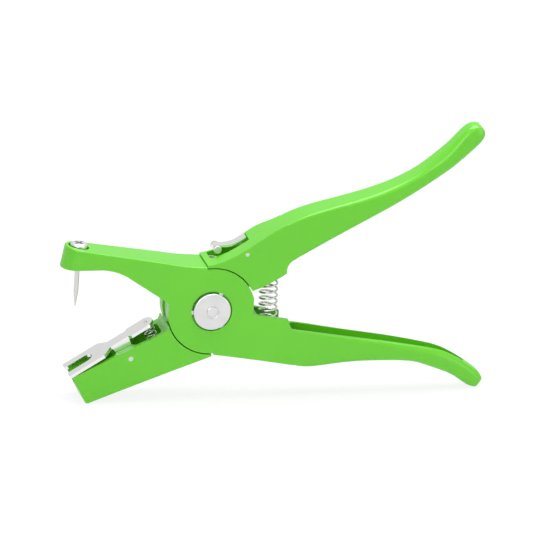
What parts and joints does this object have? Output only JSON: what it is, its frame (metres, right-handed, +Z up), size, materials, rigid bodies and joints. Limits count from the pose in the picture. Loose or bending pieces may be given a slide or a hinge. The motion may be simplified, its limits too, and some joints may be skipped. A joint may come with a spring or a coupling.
{
  "type": "ear tag applicator",
  "caption": "Hand pliers that press a two-piece ear tag together: needle in the upper jaw, sprung clip in the lower jaw, long cast handles with an opening spring and a latch.",
  "frame": {"origin": "bottom centre of the bounding box, with the tool open and standing on the lower jaw's front corner and the lower handle's tip", "axes": "+X from the jaws to the handle tips, +Y across the tool to its far side, along the pivot axis, +Z up"},
  "size_m": [0.255, 0.0286, 0.1622],
  "materials": {
    "green_paint": "satin powder coat on an aluminium casting",
    "steel": "turned steel",
    "zinc": "bright zinc plated",
    "bright_strip": "pressed strip, polished",
    "spring_wire": "drawn spring wire, bright zinc"
  },
  "bodies": {
    "frame": {"upper_jaw_casting": "green_paint", "pivot_bush": "steel", "pivot_rivet": "zinc", "pivot_cap_front": "zinc", "pivot_cap_rear": "zinc", "thrust_washer_front": "steel", "thrust_washer_rear": "steel", "applicator_needle": "steel", "needle_sleeve": "steel", "needle_lock_washer": "steel", "needle_screw": "zinc", "main_spring": "spring_wire", "main_spring_seat": "steel"},
    "lever": {"lower_jaw_casting": "green_paint", "clip_hinge_pin": "steel", "clip_spring": "spring_wire", "main_spring_cap": "steel", "latch_pin": "steel"},
    "clip": {"tag_clip": "bright_strip", "clip_spring_stud": "steel"},
    "latch": {"latch_lever": "bright_strip", "latch_roller": "steel", "latch_spring": "spring_wire"}
  },
  "joints": [
    {"name": "squeeze", "type": "hinge", "parent": "frame", "child": "lever", "pos_m": [-0.03783, 0, 0.0544], "axis": [0, 1, 0], "range_deg": [0, 28], "stiffness_Nm_per_rad": 2.6, "springref_deg": -16.04, "deforming": ["main_spring"]},
    {"name": "clip_tilt", "type": "hinge", "parent": "lever", "child": "clip", "pos_m": [-0.08513, -0.0019, 0.02653], "axis": [0, 1, 0], "range_deg": [0, 8], "stiffness_Nm_per_rad": 0.39, "springref_deg": -11.46, "deforming": ["clip_spring"]},
    {"name": "latch_press", "type": "hinge", "parent": "lever", "child": "latch", "pos_m": [-0.01763, 0.0051, 0.0886], "axis": [0, 1, 0], "range_deg": [-18, 0], "stiffness_Nm_per_rad": 0.02, "springref_deg": 20.05}
  ]
}
